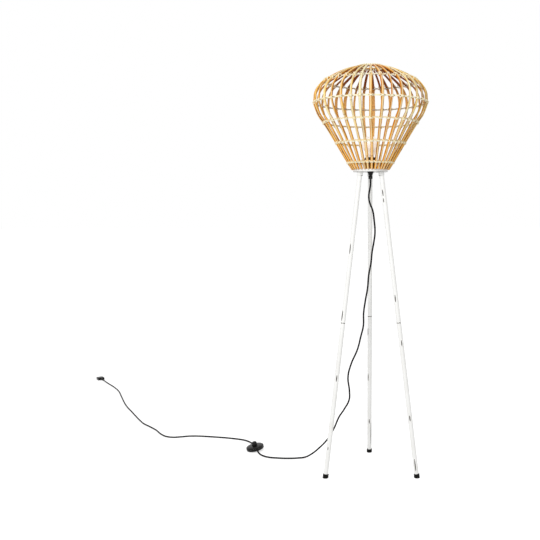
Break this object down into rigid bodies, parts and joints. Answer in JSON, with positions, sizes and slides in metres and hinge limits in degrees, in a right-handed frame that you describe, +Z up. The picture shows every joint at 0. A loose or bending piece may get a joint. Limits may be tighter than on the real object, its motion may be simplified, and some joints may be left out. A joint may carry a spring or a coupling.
{
  "type": "rattan floor lamp",
  "caption": "Tripod floor lamp with an open balloon-shaped cage shade of bound rattan canes, a black cord, a round foot switch and a two-pin plug.",
  "frame": {"origin": "on the floor under the lamp's vertical axis", "axes": "+Z up along the lamp's axis, the pictured front faces -Y, one leg stands at +Y"},
  "size_m": [1.6832, 1.6563, 1.4335],
  "materials": {
    "cane": "satin",
    "hoop_wire": "satin",
    "white_metal": "satin, worn",
    "foot_rubber": "matte",
    "black_plastic": "satin",
    "cord_sheath": "satin",
    "opal_glass": "opal white"
  },
  "bodies": {
    "root": {"leg_upper_back": "white_metal", "leg_upper_left": "white_metal", "leg_upper_right": "white_metal", "leg_lower_back": "white_metal", "leg_lower_left": "white_metal", "leg_lower_right": "white_metal", "foot_cap_back": "foot_rubber", "foot_cap_left": "foot_rubber", "foot_cap_right": "foot_rubber", "top_plate": "white_metal", "lampholder": "black_plastic", "cord_grip_cone": "black_plastic", "cord_grip_nut": "black_plastic", "shade_carrier": "hoop_wire", "hoop_low": "hoop_wire", "hoop_middle": "hoop_wire", "hoop_wide": "hoop_wire", "hoop_shoulder": "hoop_wire", "hoop_crown": "hoop_wire", "cane_01": "cane", "cane_02": "cane", "cane_03": "cane", "cane_04": "cane", "cane_05": "cane", "cane_06": "cane", "cane_07": "cane", "cane_08": "cane", "cane_09": "cane", "cane_10": "cane", "cane_11": "cane", "cane_12": "cane", "cane_13": "cane", "cane_14": "cane", "cane_15": "cane", "cane_16": "cane", "cane_17": "cane", "cane_18": "cane", "cane_19": "cane", "cane_20": "cane", "cane_21": "cane", "cane_22": "cane", "cane_23": "cane", "cane_24": "cane", "cane_25": "cane", "cane_26": "cane", "cane_27": "cane", "cane_28": "cane", "cane_29": "cane", "cane_30": "cane", "cane_31": "cane", "cane_32": "cane", "cane_33": "cane", "cane_34": "cane", "switch_base": "black_plastic", "switch_cover": "black_plastic", "plug": "black_plastic", "cord_to_switch": "cord_sheath", "cord_to_plug": "cord_sheath"},
    "switch_button": {"switch_button": "black_plastic"},
    "bulb": {"bulb": "opal_glass"}
  },
  "joints": [
    {"name": "switch_press", "type": "slide", "parent": "root", "child": "switch_button", "axis": [0.1713, 0.0623, -0.9833], "range_m": [0, 0.003], "stiffness_N_per_m": 600, "springref_m": -0.0005},
    {"name": "bulb_unscrew", "type": "hinge", "parent": "root", "child": "bulb", "pos_m": [0, 0, 1.15], "axis": [0, 0, 1], "range_deg": [0, 1080]}
  ]
}
